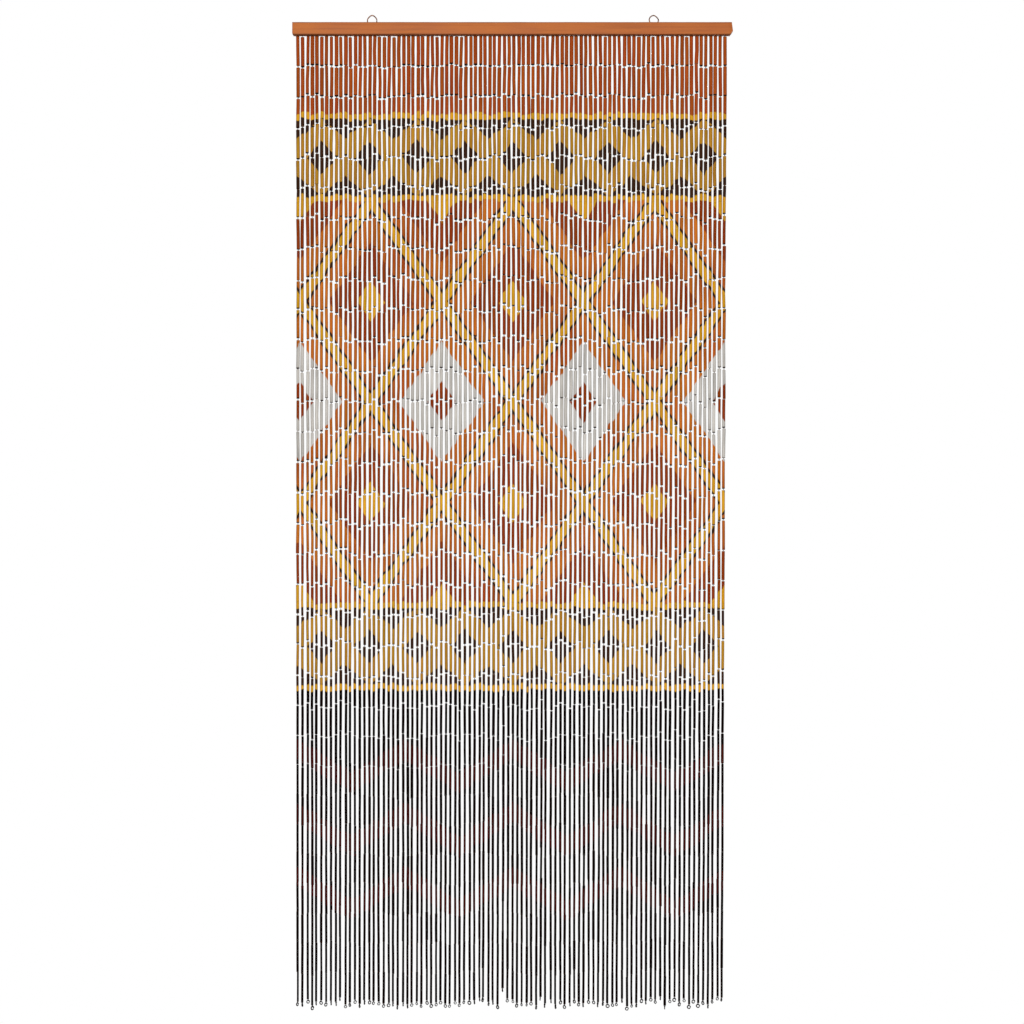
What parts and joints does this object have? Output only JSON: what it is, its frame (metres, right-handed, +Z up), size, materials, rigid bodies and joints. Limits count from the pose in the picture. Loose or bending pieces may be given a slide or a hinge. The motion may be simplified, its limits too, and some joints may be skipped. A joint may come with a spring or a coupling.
{
  "type": "bamboo bead door curtain on wooden rail",
  "caption": "Door curtain of slim painted bamboo tubes linked end to end with wire, hanging as strands from a painted wooden rail with wire hanging loops.",
  "frame": {"origin": "midway along the rail and through its depth, at the height of the hanging loops' inner tops, where the hooks bear", "axes": "+X along the rail, to the right as seen from the front; -Y the front; +Z up"},
  "size_m": [0.8999, 0.018, 2.0365],
  "materials": {
    "painted_wood": "thin terracotta paint, satin, with the grain just visible",
    "painted_bamboo": "hand-painted matt bamboo, in rust, orange, pale grey, ochre, brown and black",
    "steel_wire": "dull, lightly tarnished"
  },
  "bodies": {
    "root": {"rail": "painted_wood", "hanging_loop_left": "steel_wire", "hanging_loop_right": "steel_wire", "strands": "painted_bamboo"}
  },
  "joints": []
}
